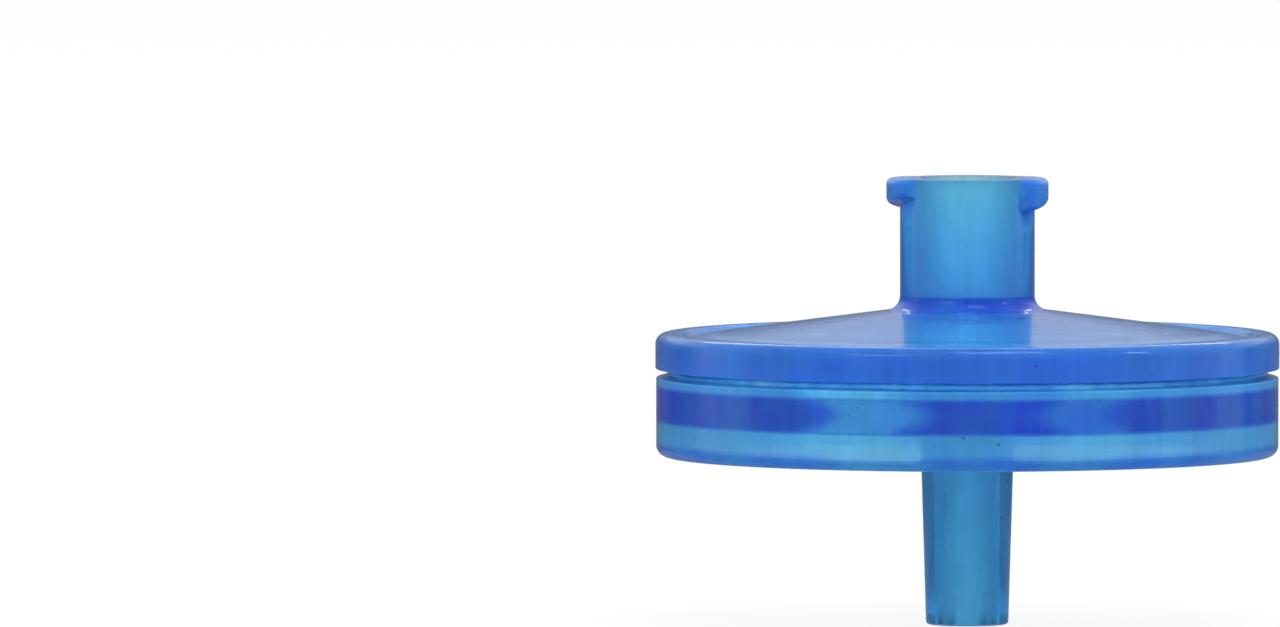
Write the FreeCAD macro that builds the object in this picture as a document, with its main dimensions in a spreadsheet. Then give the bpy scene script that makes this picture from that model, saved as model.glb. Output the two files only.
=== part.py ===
import FreeCAD, Part
import os
import re
import Sketcher

# Syringe filter with a 30 mm housing: a luer lock inlet shell and a luer slip outlet shell,
# welded together around a membrane disc.
# The filter stands on the end of its outlet tip, at height zero, and Z is its axis.
# Half sections are drawn in the XZ plane, with the radius across and the height up.

# ---------------------------------------------------------------- driving sizes, in millimetres

SIZES = (
    # luer fittings
    ("luer_slope", 0.03, "change of radius for each mm along a 6 percent luer cone"),
    ("tip_radius", 1.98, "outlet tip: outer radius at its end"),
    ("tip_edge", 0.2, "outlet tip: easing of its end"),
    ("outlet_bore", 1.05, "outlet tip: bore radius"),
    ("funnel_radius", 1.7, "funnel from the outlet grid into the bore: top radius"),
    ("funnel_depth", 0.55, "funnel from the outlet grid into the bore: depth"),
    ("mouth_radius", 2.15, "inlet: cone radius at its mouth"),
    ("mouth_chamfer", 0.12, "inlet: chamfer of its mouth"),
    ("bore_floor", 14.0, "inlet: height at which the cone ends"),
    ("port_radius", 1.75, "inlet: radius of the port under the cone"),
    # inlet tube and its two lugs
    ("hub_top", 21.5, "height of the inlet's end, and of the whole filter"),
    ("hub_radius", 3.24, "inlet tube: outer radius"),
    ("hub_edge", 0.12, "inlet tube: chamfer of its end"),
    ("hub_ease", 0.75, "inlet tube: easing of its corner with the roof"),
    ("lug_radius", 3.9, "lugs: radius from the axis"),
    ("lug_root", 2.4, "lugs: distance from the axis at which they start, inside the tube's wall"),
    ("lug_width", 4.2, "lugs: width across their two ends"),
    ("lug_depth", 1.53, "lugs: depth from the hub's end at the low end of the ramp"),
    ("lug_rise", 0.62, "lugs: rise of the ramp along the lug"),
    ("lug_chamfer", 0.2, "lugs: chamfer of their edges"),
    # roof and rim of the inlet shell
    ("roof_apex", 15.648, "roof: height at which its cone would meet the axis"),
    ("roof_slope", 0.1336, "roof: fall for each mm of radius"),
    ("valley_radius", 13.55, "roof: radius at which its cone meets the bead"),
    ("bead_inner", 13.75, "bead on the rim: inner radius of its top"),
    ("bead_top", 14.02, "bead on the rim: height of its top"),
    ("bead_ease", 0.45, "bead on the rim: easing of its outer edge"),
    ("rim_radius", 15.0, "housing: outer radius"),
    ("flange_level", 12.34, "rim: height of its lower outer edge"),
    # inlet chamber
    ("ceiling_level", 12.2, "chamber: height of the ceiling"),
    ("ceiling_rib_width", 0.88, "four ribs under the ceiling: width"),
    ("ceiling_rib_floor", 11.92, "four ribs under the ceiling: height of their lower face"),
    ("ceiling_rib_start", 1.95, "four ribs under the ceiling: radius at which they start"),
    ("ceiling_rib_top", 12.8, "four ribs under the ceiling: height inside the roof where they end"),
    ("divider_width", 0.84, "cross in the port: width of its bars"),
    ("divider_reach", 1.85, "cross in the port: radius of its ends, inside the wall"),
    ("divider_floor", 13.05, "cross in the port: height of its lower face"),
    ("divider_height", 0.85, "cross in the port: height of its bars"),
    # weld, clamp and flash trap
    ("lip_level", 12.12, "height at which lip and rim meet"),
    ("lip_contact", 14.35, "outer radius at which lip and rim meet"),
    ("lip_shoulder", 11.9, "lip: height of its outer edge"),
    ("lip_inner", 13.9, "lip: inner radius, outer wall of the flash trap"),
    ("foot_outer", 13.25, "clamp foot: outer radius, inner wall of the flash trap"),
    ("membrane_radius", 12.3, "membrane: radius"),
    ("membrane_top", 11.8, "membrane: height of its upper face"),
    # outlet shell
    ("seat_level", 11.65, "plate: height of its upper face"),
    ("plate_floor", 9.9, "plate: height of its lower face"),
    ("skirt_floor", 8.1, "skirt: height of its lower edge"),
    ("skirt_outer", 14.96, "skirt: outer radius"),
    ("skirt_inner", 14.15, "skirt: inner radius"),
    ("skirt_ease", 0.55, "skirt: easing of its lower outer edge"),
    ("root_ease", 0.3, "plate: easing of its corner with the outlet tip"),
    # outlet grid
    ("grid_radius", 10.95, "grid and chamber: outer radius"),
    ("grid_pitch", 1.0, "ring grooves: distance from one to the next"),
    ("grid_first", 2.9, "ring grooves: mean radius of the innermost"),
    ("grid_groove", 0.7, "ring grooves: width"),
    ("grid_depth", 0.45, "ring grooves: depth"),
    ("channel_width", 0.85, "four channels to the funnel: width"),
    ("channel_start", 1.2, "four channels to the funnel: radius at which they start"),
    ("channel_end", 9.9, "four channels to the funnel: radius of the well at their end"),
    ("channel_depth", 0.7, "four channels to the funnel: depth"),
    ("well_radius", 0.52, "round wells at the ends of the channels: radius"),
)

RING_GROOVES = 8
CHANNELS = 4
CEILING_RIBS = 4
DIVIDER_BARS = 2
LUGS = 2
DIAGONAL = 45.0
FULL_TURN = 360.0

# directions in a half section, as steps across and up
INWARDS, OUTWARDS, DOWNWARDS, UPWARDS = (-1, 0), (1, 0), (0, -1), (0, 1)
# how far the middle of a quarter arc stands back from its corner, as a share of the radius
EASE_SHARE = 0.293

# sketcher's names for the parts of its geometry
ORIGIN, ACROSS_AXIS, UP_AXIS = -1, -1, -2
START, END, CENTRE = 1, 2, 3

SPARE_CELL = "D1"
CLOSE = 1e-4

doc = FreeCAD.newDocument("SyringeFilter")
sheet = doc.addObject("Spreadsheet::Sheet", "Sizes")
for row, (alias, value, meaning) in enumerate(SIZES, start=1):
    sheet.set(f"A{row}", alias)
    sheet.set(f"B{row}", str(value))
    sheet.set(f"C{row}", meaning)
    sheet.setAlias(f"B{row}", alias)
doc.recompute()


# ---------------------------------------------------------------- helpers

def bound(expression):
    """The expression with each size name pointing at the sheet."""
    return re.sub(r"[a-z_]{2,}", lambda name: "Sizes." + name.group(0), expression)


def size_of(expression):
    """The value of an expression of sizes, worked out in a spare cell of the sheet."""
    sheet.set(SPARE_CELL, "=" + expression)
    sheet.recompute()
    return float(sheet.get(SPARE_CELL))


def bind(feature, **properties):
    """Ties properties of a feature to expressions of sizes."""
    for name, expression in properties.items():
        feature.setExpression(name, bound(expression))


def origin_feature(body, role):
    """The plane or axis of a body's own origin that has the given role."""
    return next(item for item in body.Origin.OriginFeatures if item.Role == role)


def new_body(label):
    """An empty body whose label names its file."""
    body = doc.addObject("PartDesign::Body", label)
    body.Label = label
    return body


def new_sketch(body, name, plane, height=None, turn=0.0):
    """A sketch on an origin plane, raised to a height and turned about the axis."""
    sketch = body.newObject("Sketcher::SketchObject", name)
    sketch.AttachmentSupport = [(origin_feature(body, plane), "")]
    sketch.MapMode = "FlatFace"
    sketch.AttachmentOffset = FreeCAD.Placement(
        FreeCAD.Vector(0, 0, 0), FreeCAD.Rotation(FreeCAD.Vector(0, 0, 1), turn))
    if height is not None:
        sketch.setExpression("AttachmentOffset.Base.z", bound(height))
    return sketch


def place_point(sketch, element, end, across, up):
    """Binds one point of a sketch to expressions for its two coordinates."""
    for kind, expression, axis in (("DistanceX", across, UP_AXIS), ("DistanceY", up, ACROSS_AXIS)):
        if expression == "0":
            sketch.addConstraint(Sketcher.Constraint("PointOnObject", element, end, axis))
            continue
        number = sketch.addConstraint(Sketcher.Constraint(
            kind, ORIGIN, START, element, end, size_of(expression)))
        sketch.setExpression(f"Constraints[{number}]", bound(expression))


def add_outline(sketch, corners):
    """Adds a closed outline of straight sides, its corners given as (across, up) expressions."""
    points = [FreeCAD.Vector(size_of(across), size_of(up), 0) for across, up in corners]
    first = sketch.GeometryCount
    for here, there in zip(points, points[1:] + points[:1]):
        sketch.addGeometry(Part.LineSegment(here, there))
    for index, (across, up) in enumerate(corners):
        before = first + (index - 1) % len(corners)
        sketch.addConstraint(Sketcher.Constraint("Coincident", before, END, first + index, START))
        place_point(sketch, first + index, START, across, up)


def add_circle(sketch, across, up, radius):
    """Adds a circle whose centre and radius are bound to expressions."""
    centre = FreeCAD.Vector(size_of(across), size_of(up), 0)
    element = sketch.addGeometry(Part.Circle(centre, FreeCAD.Vector(0, 0, 1), size_of(radius)))
    place_point(sketch, element, CENTRE, across, up)
    number = sketch.addConstraint(Sketcher.Constraint("Radius", element, size_of(radius)))
    sketch.setExpression(f"Constraints[{number}]", bound(radius))


def eased(across, up, radius, arriving, leaving):
    """Three points in place of a corner, on the arc of a radius that would round it.

    arriving and leaving are the directions from the corner to the first and the last point.
    """
    def offset(base, step):
        return f"{base} + ({step}) * {radius}" if step else base

    between = [EASE_SHARE * (one + other) for one, other in zip(arriving, leaving)]
    return [(offset(across, right), offset(up, rise)) for right, rise in (arriving, between, leaving)]


def rectangle(left, right, low, high):
    """Corners of a rectangle from four expressions."""
    return [(left, low), (right, low), (right, high), (left, high)]


def turned(body, kind, name, sketch):
    """A full revolution or groove of a half section about the body's axis."""
    feature = body.newObject(kind, name)
    feature.Profile = (sketch, [""])
    feature.ReferenceAxis = (sketch, ["V_Axis"])
    feature.Angle = FULL_TURN
    doc.recompute()
    return feature


def extruded(body, kind, name, sketch, length, downwards=False):
    """A pad or pocket of a sketch whose length is bound to an expression."""
    feature = body.newObject(kind, name)
    feature.Profile = (sketch, [""])
    bind(feature, Length=length)
    feature.Reversed = downwards
    doc.recompute()
    return feature


def repeated(body, name, features, count):
    """Evenly spaced copies of features around the body's axis."""
    pattern = body.newObject("PartDesign::PolarPattern", name)
    pattern.Originals = features
    pattern.Axis = (origin_feature(body, "Z_Axis"), [""])
    pattern.Angle = FULL_TURN
    pattern.Occurrences = count
    body.Tip = pattern
    doc.recompute()
    return pattern


def chamfered(body, name, base, edges, size):
    """A chamfer on named edges whose size is bound to an expression."""
    chamfer = body.newObject("PartDesign::Chamfer", name)
    chamfer.Base = (base, edges)
    bind(chamfer, Size=size)
    body.Tip = chamfer
    doc.recompute()
    return chamfer


def outer_edges(feature, distance):
    """Names of a feature's edges that reach further along X than a distance from the axis.

    An edge in the XZ plane is only the seam of a turned face, and is left out.
    """
    limit = size_of(distance) + CLOSE
    names = []
    for number, edge in enumerate(feature.Shape.Edges, start=1):
        reach = max(abs(vertex.X) for vertex in edge.Vertexes)
        spread = max(abs(vertex.Y) for vertex in edge.Vertexes)
        if reach > limit and spread > CLOSE:
            names.append(f"Edge{number}")
    return names


# ---------------------------------------------------------------- outlet shell

def make_outlet_housing():
    """Plate with support grid, lip and skirt, and the outlet tip with its luer cone."""
    body = new_body("outlet_housing")

    section = new_sketch(body, "outlet_section", "XZ_Plane")
    add_outline(section, [
        ("outlet_bore", "0"),
        *eased("tip_radius", "0", "tip_edge", INWARDS, UPWARDS),
        *eased("tip_radius + luer_slope * plate_floor", "plate_floor", "root_ease", DOWNWARDS, OUTWARDS),
        ("skirt_inner", "plate_floor"),
        ("skirt_inner", "skirt_floor"),
        *eased("skirt_outer", "skirt_floor", "skirt_ease", INWARDS, UPWARDS),
        ("skirt_outer", "lip_shoulder"),
        ("lip_contact", "lip_level"),
        ("lip_inner", "lip_level"),
        ("lip_inner", "seat_level"),
        ("funnel_radius", "seat_level"),
        ("outlet_bore", "seat_level - funnel_depth"),
    ])
    turned(body, "PartDesign::Revolution", "outlet_shell", section)

    # V-shaped ring grooves leave the concentric ribs that hold the membrane up
    grooves = new_sketch(body, "ring_groove_section", "XZ_Plane")
    for ring in range(RING_GROOVES):
        middle = f"grid_first + {ring} * grid_pitch"
        add_outline(grooves, [
            (f"{middle} - grid_groove / 2", "seat_level"),
            (middle, "seat_level - grid_depth"),
            (f"{middle} + grid_groove / 2", "seat_level"),
        ])
    turned(body, "PartDesign::Groove", "ring_grooves", grooves)

    # diagonal channels break the ribs and lead into the funnel, each from a round well
    channel_outline = new_sketch(body, "channel_outline", "XY_Plane", "seat_level", DIAGONAL)
    add_outline(channel_outline, rectangle(
        "channel_start", "channel_end", "0 - channel_width / 2", "channel_width / 2"))
    channel = extruded(body, "PartDesign::Pocket", "channel", channel_outline, "channel_depth")
    well_outline = new_sketch(body, "well_outline", "XY_Plane", "seat_level", DIAGONAL)
    add_circle(well_outline, "channel_end", "0", "well_radius")
    well = extruded(body, "PartDesign::Pocket", "well", well_outline, "channel_depth")
    repeated(body, "channels", [channel, well], CHANNELS)
    return body


# ---------------------------------------------------------------- inlet shell

def make_inlet_housing():
    """Roof and rim with the inlet tube, its lugs, and the ribbed chamber under the roof."""
    body = new_body("inlet_housing")

    # the lugs come first, so that their ramps cut nothing of the tube
    lug_outline = new_sketch(body, "lug_outline", "XY_Plane", "hub_top")
    add_outline(lug_outline, rectangle(
        "lug_root", "lug_radius * 1.1", "0 - lug_width / 2", "lug_width / 2"))
    lug_block = extruded(body, "PartDesign::Pad", "lug_block", lug_outline, "lug_depth", downwards=True)

    ramp_outline = new_sketch(body, "ramp_outline", "YZ_Plane")
    add_outline(ramp_outline, [
        ("0 - lug_width / 2", "hub_top - lug_depth"),
        ("0 - lug_width / 2", "hub_top - lug_depth - lug_rise"),
        ("lug_width / 2", "hub_top - lug_depth - lug_rise"),
        ("lug_width / 2", "hub_top - lug_depth + lug_rise"),
    ])
    ramp = extruded(
        body, "PartDesign::Pocket", "lug_ramp", ramp_outline, "lug_radius * 2", downwards=True)
    lugs = repeated(body, "lugs", [lug_block, ramp], LUGS)
    trim_section = new_sketch(body, "lug_trim_section", "XZ_Plane")
    add_outline(trim_section, rectangle(
        "lug_radius", "lug_radius * 1.5", "hub_top - lug_depth * 1.2", "hub_top + lug_depth"))
    lugs = turned(body, "PartDesign::Groove", "lug_trim", trim_section)
    chamfered(body, "lug_chamfers", lugs, outer_edges(lugs, "lug_root"), "lug_chamfer")

    section = new_sketch(body, "inlet_section", "XZ_Plane")
    add_outline(section, [
        ("mouth_radius + mouth_chamfer", "hub_top"),
        ("hub_radius - hub_edge", "hub_top"),
        ("hub_radius", "hub_top - hub_edge"),
        *eased("hub_radius", "roof_apex - roof_slope * hub_radius", "hub_ease", UPWARDS, OUTWARDS),
        ("valley_radius", "roof_apex - roof_slope * valley_radius"),
        ("bead_inner", "bead_top"),
        *eased("rim_radius", "bead_top", "bead_ease", INWARDS, DOWNWARDS),
        ("rim_radius", "flange_level"),
        ("lip_contact", "lip_level"),
        ("foot_outer", "lip_level"),
        ("foot_outer", "membrane_top"),
        ("grid_radius", "membrane_top"),
        ("grid_radius", "ceiling_level"),
        ("port_radius", "ceiling_level"),
        ("port_radius", "bore_floor"),
        ("mouth_radius - luer_slope * (hub_top - bore_floor)", "bore_floor"),
        ("mouth_radius - luer_slope * mouth_chamfer", "hub_top - mouth_chamfer"),
    ])
    turned(body, "PartDesign::Revolution", "inlet_shell", section)

    # four ribs stiffen the roof over the chamber
    rib_outline = new_sketch(body, "ceiling_rib_outline", "XY_Plane", "ceiling_rib_floor")
    add_outline(rib_outline, rectangle(
        "ceiling_rib_start", "grid_radius + ceiling_rib_width / 2",
        "0 - ceiling_rib_width / 2", "ceiling_rib_width / 2"))
    rib = extruded(
        body, "PartDesign::Pad", "ceiling_rib", rib_outline, "ceiling_rib_top - ceiling_rib_floor")
    repeated(body, "ceiling_ribs", [rib], CEILING_RIBS)

    # a cross of two bars spreads the flow under the cone
    bar_outline = new_sketch(body, "divider_outline", "XY_Plane", "divider_floor", DIAGONAL)
    add_outline(bar_outline, rectangle(
        "0 - divider_reach", "divider_reach", "0 - divider_width / 2", "divider_width / 2"))
    bar = extruded(body, "PartDesign::Pad", "divider_bar", bar_outline, "divider_height")
    repeated(body, "divider", [bar], 2 * DIVIDER_BARS)
    return body


# ---------------------------------------------------------------- membrane

def make_filter_membrane():
    """Flat disc that lies on the outlet grid with its edge clamped between the shells."""
    disc = doc.addObject("Part::Cylinder", "filter_membrane")
    disc.Label = "filter_membrane"
    bind(disc, Radius="membrane_radius", Height="membrane_top - seat_level")
    disc.setExpression("Placement.Base.z", bound("seat_level"))
    doc.recompute()
    return disc


# ---------------------------------------------------------------- build, test and write

def check_document():
    """Stops the build if any object of the document failed to compute."""
    for item in doc.Objects:
        if "Invalid" in item.State or "Error" in item.State:
            raise RuntimeError(f"{item.Name} did not compute: {item.State}")


def check_solid(piece):
    """Stops the build unless a piece is one valid, closed solid."""
    shape = piece.Shape
    if shape.isNull() or not shape.isValid() or len(shape.Solids) != 1:
        raise RuntimeError(f"{piece.Label} is not one valid solid")


def main():
    """Builds the three pieces, checks them and writes one STEP file for each."""
    pieces = [make_outlet_housing(), make_filter_membrane(), make_inlet_housing()]
    sheet.clear(SPARE_CELL)
    doc.recompute()
    check_document()
    os.makedirs("parts", exist_ok=True)
    for piece in pieces:
        check_solid(piece)
        piece.Shape.exportStep(f"parts/{piece.Label}.step")
        print(f"{piece.Label}: {piece.Shape.Volume:.1f} mm3")


main()
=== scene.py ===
import math

import bpy
import numpy as np
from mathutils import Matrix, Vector


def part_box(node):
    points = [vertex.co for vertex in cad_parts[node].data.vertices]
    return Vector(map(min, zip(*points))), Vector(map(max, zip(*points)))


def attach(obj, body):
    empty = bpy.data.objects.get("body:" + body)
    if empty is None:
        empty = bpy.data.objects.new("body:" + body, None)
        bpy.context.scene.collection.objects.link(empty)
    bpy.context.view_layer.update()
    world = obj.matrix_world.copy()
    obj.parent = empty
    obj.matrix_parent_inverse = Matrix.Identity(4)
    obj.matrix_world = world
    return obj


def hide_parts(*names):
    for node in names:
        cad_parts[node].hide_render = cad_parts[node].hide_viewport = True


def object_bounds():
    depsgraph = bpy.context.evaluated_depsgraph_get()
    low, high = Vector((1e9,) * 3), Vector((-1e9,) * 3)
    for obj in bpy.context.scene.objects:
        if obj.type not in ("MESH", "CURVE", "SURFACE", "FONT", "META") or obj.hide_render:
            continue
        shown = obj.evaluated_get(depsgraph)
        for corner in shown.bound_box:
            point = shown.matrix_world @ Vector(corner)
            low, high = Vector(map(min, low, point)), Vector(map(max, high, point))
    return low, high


# Syringe filter of clear blue plastic: two moulded shells welded over a membrane disc.
# The shells and the membrane are made again as fine surfaces in place of the CAD nodes.
# Lengths are in millimetres until a mesh is written, and in metres in the scene.

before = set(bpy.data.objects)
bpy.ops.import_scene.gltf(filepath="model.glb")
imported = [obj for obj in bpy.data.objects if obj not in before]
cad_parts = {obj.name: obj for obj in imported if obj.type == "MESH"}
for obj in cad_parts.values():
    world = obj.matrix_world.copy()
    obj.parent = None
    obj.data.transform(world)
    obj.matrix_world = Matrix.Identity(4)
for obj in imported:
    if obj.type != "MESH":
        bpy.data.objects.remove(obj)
cad_low, cad_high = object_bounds()

MM = 0.001

# ---------------------------------------------------------------- sizes, in millimetres

inlet_top = np.array(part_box("inlet_housing")[1]) / MM
outlet_top = np.array(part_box("outlet_housing")[1]) / MM
membrane_low, membrane_top = (np.array(corner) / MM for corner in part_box("filter_membrane"))

RIM_RADIUS, HUB_TOP = inlet_top[0], inlet_top[2]
SKIRT_OUTER, LIP_LEVEL = outlet_top[0], outlet_top[2]
MEMBRANE_RADIUS, MEMBRANE_TOP = membrane_top[0], membrane_top[2]
SEAT_LEVEL = membrane_low[2]
GAP = 0.006                     # half the gap left between faces that touch

# outlet shell
LUER_SLOPE = 0.03
TIP_RADIUS = 1.98
TIP_EDGE = 0.2
OUTLET_BORE = 1.05
FUNNEL_RADIUS = 1.7
FUNNEL_DEPTH = 0.55
PLATE_FLOOR = 9.9
ROOT_FILLET = 0.3
SKIRT_FLOOR = 8.1
SKIRT_INNER = 14.15
SKIRT_ROUND = 0.55
LIP_SHOULDER = 11.9
LIP_CONTACT = 14.35
LIP_CHAMFER = 0.12, 0.09        # how far out and down the faces at the joint start to part
LIP_INNER = 13.9

# support grid of the outlet shell
GRID_RADIUS = 10.95
GROOVES = 8
GROOVE_FIRST = 2.9
GROOVE_PITCH = 1.0
GROOVE_WIDTH = 0.7
GROOVE_DEPTH = 0.45
CHANNEL_HALF_WIDTH = 0.425
CHANNEL_DEPTH = 0.7
WELL_PLACE = 9.9
WELL_RADIUS = 0.52

# inlet tube and its lugs
MOUTH_RADIUS = 2.15
MOUTH_CHAMFER = 0.12
BORE_FLOOR = 14.0
PORT_RADIUS = 1.75
HUB_RADIUS = 3.24
HUB_EDGE = 0.1
HUB_FILLET = 0.7
LUG_RADIUS = 3.9
LUG_HALF_WIDTH = 2.1
LUG_DEPTH = 1.53
LUG_RISE = 0.62
LUG_EDGE = 0.3
LUG_CORNER = 0.45
LUG_FOOT = 0.12

# roof, rim and chamber of the inlet shell
ROOF_APEX = 15.648
ROOF_SLOPE = 0.1336
ROOF_FOOT = ROOF_APEX - ROOF_SLOPE * HUB_RADIUS
ROOF_START = HUB_RADIUS + HUB_FILLET + 0.1
VALLEY_RADIUS = 13.55
BEAD_INNER = 13.75
BEAD_TOP = 14.02
BEAD_ROUND = 0.5
FLANGE_LEVEL = 12.34
FOOT_OUTER = 13.25
CEILING_LEVEL = 12.2
RIB_HALF_WIDTH = 0.44
RIB_FLOOR = 11.92
RIB_START = 1.95
DIVIDER_HALF_WIDTH = 0.42
DIVIDER_FLOOR = 13.05
DIVIDER_HEIGHT = 0.85

# marks of the mould and the weld
LINE_HALF_WIDTH = 0.07
LINE_HEIGHT = 0.03
FLASH_RADIUS = 14.34
FLASH_SIZE = 0.17

# depth of plastic whose haze a face shows: the real depth at the tube, the plate, the thin walls
# and the solid band, and set elsewhere, where light bends through more or less of it
THIN_WALL = 0.8
ROOF_DEPTH = 1.1
TUBE_WALL = 1.15
PLATE_DEPTH = 1.75
SKIRT_DEPTH = 2.6
LIP_DEPTH = 3.3
LUG_BODY_DEPTH = 6.0
RIM_DEPTH = 6.0
HUB_FOOT_DEPTH = 12.0
SOLID = 15.0
HAZE_DEPTH = 4.0                # depth at which the plastic's haze has grown to nearly two thirds

# milkiness beyond what the depth gives: below 0 the plastic is clearer and darker, and on frosted
# faces, at the mouth's edge and the ceiling beside the ribs, it is painted shade. At 1 it is cloudy, and
# from there to 2 it turns pale, partly as melted plastic does and partly as painted light in the groove
MOUTH_MILK = -1.2
BAND_MILK = -0.25
HUB_FOOT_MILK = 0.05
ROOF_FOOT_MILK = 0.1
FLANGE_MILK = 0.3
SKIRT_EDGE_MILK = 0.35
LUG_MILK = 0.5
ROOF_MILK = 0.55
TIP_MILK = 0.55
SKIRT_MILK = 0.8
BEAD_MILK = 0.8
SKIRT_FOOT_MILK = 0.9
JOINT_MILK = 1.0
LIP_MILK = 1.1

# painted light that comes in between the ribs, and what it does to the outlet shell's wall
SHADE_MILK = 0.7                # share of its milkiness that a place in the shade keeps
LIT_SOLID_MILK = 0.9            # milkiness that solid plastic gains in the light
LIT_JOINT_MILK = 0.2            # milkiness that the joint gains in the light
LIT_MILKY_SHARE = 0.6           # how far milky plastic follows solid plastic in losing depth
LIT_BOW = 0.05                  # how far the lit places bow at the middle of the plate, in radians
LIT_BOW_RATE = 2.6              # how fast the bow falls off above and below it, in radians a millimetre

# how much painted light, or painted shade where below 0, the parts behind it give the plastic in front
RIB_LIGHT = 0.26
RING_LIGHT = 0.03
CHANNEL_LIGHT = -0.08
WELL_LIGHT = 0.3
CLAMP_LIGHT = -0.14
WELD_LIGHT = 0.2
LINE_LIGHT = -0.12
MOUTH_WARM_LIGHT = 1.1, 1.06, 0.86, 1

# where the painted light and shade shows: radii, and heights on the roof and the tube
CHAMBER_SEEN_FROM = 3.4
CLAMP_OUTER = 11.9
WELD_EDGE = 12.45, 12.8
ROOF_EDGE_LEVEL = 13.0
MOUTH_WARM_LIGHT_START = 17.0

# columns of points round the axis, in four quarters that the lugs, ribs or channels divide
QUARTERS = 4
PER_QUARTER = 72
HALF_QUARTER = PER_QUARTER // 2
COLUMNS = QUARTERS * PER_QUARTER
ARC_COLUMNS, CORNER_COLUMNS, FACE_COLUMNS = 17, 7, 4
LUG_COLUMNS = ARC_COLUMNS + CORNER_COLUMNS + FACE_COLUMNS
SOFT_COLUMNS = 3                # columns to each side of a lug's end over which its look fades out
ARC_ROWS = 7                    # rows of points on every rounding

# columns from a quarter's middle line, and how far out they lie in half widths of what is there
GATHERED = np.array([0, 3, 5, 6, 7, 8])
GATHERED_PLACE = np.array([0, 0.6, 0.9, 1.0, 1.05, 1.25])


# ---------------------------------------------------------------- meshes

def make_mesh(name, points, faces, depth, frost, milkiness):
    """Writes points in millimetres and faces of corner numbers into a new smooth piece.

    Each point is marked with its frosting, its milkiness and its haze, which is one less the
    exponential of minus the depth of plastic that it shows over the haze depth.
    """
    mesh = bpy.data.meshes.new(name)
    mesh.from_pydata((points * MM).tolist(), [], faces)
    mesh.update()
    haze = 1 - np.exp(-depth / HAZE_DEPTH)
    for mark, values in (("haze", haze), ("frost", frost), ("milkiness", milkiness)):
        mesh.attributes.new(mark, "FLOAT", "POINT").data.foreach_set("value", values)
    mesh.shade_smooth()
    mesh.set_sharp_from_angle(angle=math.radians(35))
    piece = bpy.data.objects.new(name, mesh)
    bpy.context.scene.collection.objects.link(piece)
    return piece


def ring_faces(rows, columns, closed=True):
    """Four-sided faces of a grid that closes on itself along its columns, and its rows if closed."""
    row, column = np.meshgrid(np.arange(rows if closed else rows - 1), np.arange(columns), indexing="ij")
    next_row, next_column = (row + 1) % rows, (column + 1) % columns
    corners = (row * columns + column, row * columns + next_column,
               next_row * columns + next_column, next_row * columns + column)
    return np.stack([corner.ravel() for corner in corners], axis=1)


def outward(points, faces):
    """The faces, turned round if the volume that they enclose comes out negative."""
    first, second, third, fourth = (points[faces[:, corner]] for corner in range(4))
    volume = np.einsum("ij,ij->i", first, np.cross(second, third) + np.cross(third, fourth)).sum()
    return faces if volume > 0 else faces[:, ::-1]


def ring_surface(blocks):
    """Marked points and outward faces of a closed ring, from blocks of rows of marked points."""
    grid = np.concatenate(blocks)
    marked_points = grid.reshape(-1, grid.shape[-1])
    return marked_points, outward(marked_points[:, :3], ring_faces(*grid.shape[:2])).tolist()


def capped_surface(rows, low, high):
    """Marked points and faces of a closed drum, from rows going up and a pole at each end."""
    count, columns = rows.shape[:2]
    marked_points = np.concatenate([rows.reshape(-1, rows.shape[-1]), [low], [high]])
    column = np.arange(columns)
    ahead = (column + 1) % columns
    last = (count - 1) * columns
    low_cap = np.stack([ahead, column, np.full(columns, count * columns)], axis=1)
    high_cap = np.stack([last + column, last + ahead, np.full(columns, count * columns + 1)], axis=1)
    sides = ring_faces(count, columns, closed=False)
    return marked_points, sides.tolist() + low_cap.tolist() + high_cap.tolist()


def make_piece(name, *surfaces):
    """One piece from several closed surfaces of marked points and faces."""
    points, faces = [], []
    count = 0
    for own_points, own_faces in surfaces:
        faces += [[corner + count for corner in face] for face in own_faces]
        points.append(own_points)
        count += len(own_points)
    points = np.concatenate(points)
    return make_mesh(name, points[:, :3], faces, *points[:, 3:].T)


# ---------------------------------------------------------------- columns and rows

COLUMN = np.arange(COLUMNS)
QUARTER = COLUMN // PER_QUARTER
SIDE_COLUMN = COLUMN % PER_QUARTER - HALF_QUARTER      # counted from the quarter's middle line
STEP = np.abs(SIDE_COLUMN)
SIDE = np.sign(SIDE_COLUMN)
ON_LUG_QUARTER = QUARTER % 2 == 0
QUARTER_TURN = QUARTER * math.pi / 2


def column_angles(radius, half_width, turn=0.0):
    """Angle of each column at each radius.

    Near a quarter's middle line the columns run beside it, at set shares of a half width, so
    their angle is the arcsine of that distance over the radius. Past them the angle grows
    evenly up to the quarter's end, an eighth of a turn away.
    """
    distance = np.interp(STEP, GATHERED, GATHERED_PLACE) * half_width
    near = np.arcsin(np.minimum(distance / np.reshape(radius, (-1, 1)), 0.8))
    share = np.clip((STEP - GATHERED[-1]) / (HALF_QUARTER - GATHERED[-1]), 0, 1)
    return SIDE * blend(near, math.pi / 4, share) + QUARTER_TURN + turn


def raised():
    """How much of a rib or channel each column has: 1 on it, 0 beside it, with a soft edge."""
    place = np.interp(STEP, GATHERED, GATHERED_PLACE)
    return np.interp(place, [0, 0.9, 1.0, 1.05, 1.2], [1, 1, 0.93, 0.05, 0])


def parting_ridge():
    """Height of the ridge that the mould's parting line leaves on the front and the back."""
    return LINE_HEIGHT * raised() * ~ON_LUG_QUARTER


def blend(one, other, share):
    """A mixture of two arrays: all of the first at share 0 and all of the other at share 1."""
    return one + (other - one) * share


def eased(share):
    """Shares from 0 to 1 that start and end gently: three times the square less twice the cube."""
    return share * share * (3 - 2 * share)


def steps(start, end, count):
    """Evenly spaced values in a column, the start left out and the end kept."""
    return np.linspace(start, end, count + 1)[1:, None]


def plan_at(radius, angle):
    """Places seen from above, at a radius and an angle."""
    return np.stack(np.broadcast_arrays(radius * np.cos(angle), radius * np.sin(angle)), axis=-1)


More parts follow.
